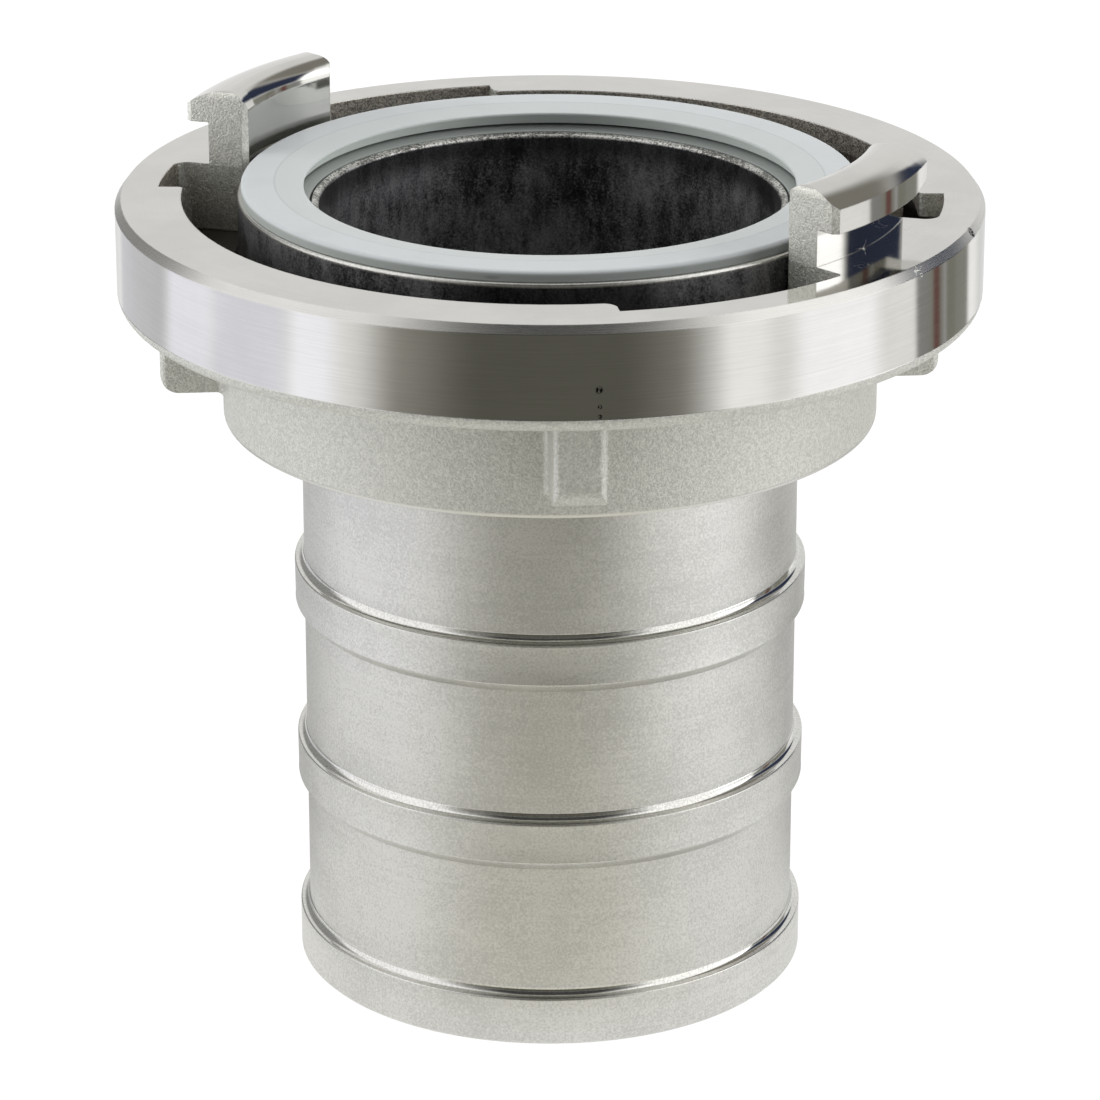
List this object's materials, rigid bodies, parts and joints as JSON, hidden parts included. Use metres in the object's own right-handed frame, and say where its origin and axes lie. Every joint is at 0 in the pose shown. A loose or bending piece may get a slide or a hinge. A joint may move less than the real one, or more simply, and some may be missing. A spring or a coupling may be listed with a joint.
{
  "type": "hose coupling",
  "caption": "Symmetrical quarter-turn hose coupling with hooked claws, undercut wedge lips, a rubber lip seal and a ribbed hose tail in a swivelling claw ring.",
  "frame": {"origin": "centre of the open end of the hose tail, where the coupling stands", "axes": "+Z along the axis from the open end of the hose tail towards the claws. At rest the claws lie at -30 and 150 degrees from +X"},
  "size_m": [0.126, 0.126, 0.1301],
  "materials": {
    "turned_aluminium": "satin turned",
    "forged_aluminium": "blasted forging with a machined rim and face",
    "seal_rubber": "matte",
    "spring_steel": "bright wire"
  },
  "bodies": {
    "tail": {"tail_piece": "turned_aluminium", "seal": "seal_rubber", "snap_ring": "spring_steel"},
    "ring": {"claw_ring": "forged_aluminium"}
  },
  "joints": [
    {"name": "ring_swivel", "type": "hinge", "parent": "tail", "child": "ring", "pos_m": [0, 0, 0.119], "axis": [0, 0, 1], "continuous": true}
  ]
}
